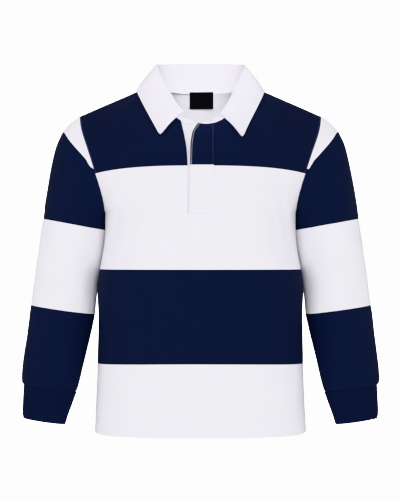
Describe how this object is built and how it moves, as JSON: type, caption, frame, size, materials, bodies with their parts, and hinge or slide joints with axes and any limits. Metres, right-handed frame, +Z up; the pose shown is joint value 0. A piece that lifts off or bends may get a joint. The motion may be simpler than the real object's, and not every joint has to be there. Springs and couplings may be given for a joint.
{
  "type": "rugby shirt",
  "caption": "Long-sleeved child's rugby shirt in wide sewn navy and white hoops, filled out hollow, with a turned-down collar, a hidden-button placket and rib cuffs.",
  "frame": {"origin": "middle of the neck at the height of the shoulder seams' inner ends, where the shirt hangs on a wearer", "axes": "+Z up towards the collar, +X towards the right in front view (the wearer's left), -Y out of the front"},
  "size_m": [0.5366, 0.1902, 0.5588],
  "materials": {
    "navy_jersey": "matte heavy cotton jersey",
    "white_jersey": "matte heavy cotton jersey",
    "white_twill": "smooth cotton twill",
    "navy_rib": "one by one rib knit",
    "black_tape": "woven satin tape"
  },
  "bodies": {
    "root": {"back_chest_white": "white_jersey", "back_hem_white": "white_jersey", "back_waist_navy": "navy_jersey", "back_yoke_navy": "navy_jersey", "collar_leaf": "white_twill", "collar_stand": "white_twill", "cuff_rib_left": "navy_rib", "cuff_rib_right": "navy_rib", "front_chest_white": "white_jersey", "front_hem_white": "white_jersey", "front_waist_navy": "navy_jersey", "front_yoke_navy_left": "navy_jersey", "front_yoke_navy_right": "navy_jersey", "neck_facing": "white_twill", "neck_label": "black_tape", "neckband_end_over": "white_twill", "neckband_end_under": "white_twill", "placket_navy": "navy_jersey", "placket_underlap": "white_twill", "placket_white": "white_jersey", "sleeve_cap_white_left": "white_jersey", "sleeve_cap_white_right": "white_jersey", "sleeve_elbow_white_left": "white_jersey", "sleeve_elbow_white_right": "white_jersey", "sleeve_fore_navy_left": "navy_jersey", "sleeve_fore_navy_right": "navy_jersey", "sleeve_upper_navy_left": "navy_jersey", "sleeve_upper_navy_right": "navy_jersey"}
  },
  "joints": []
}
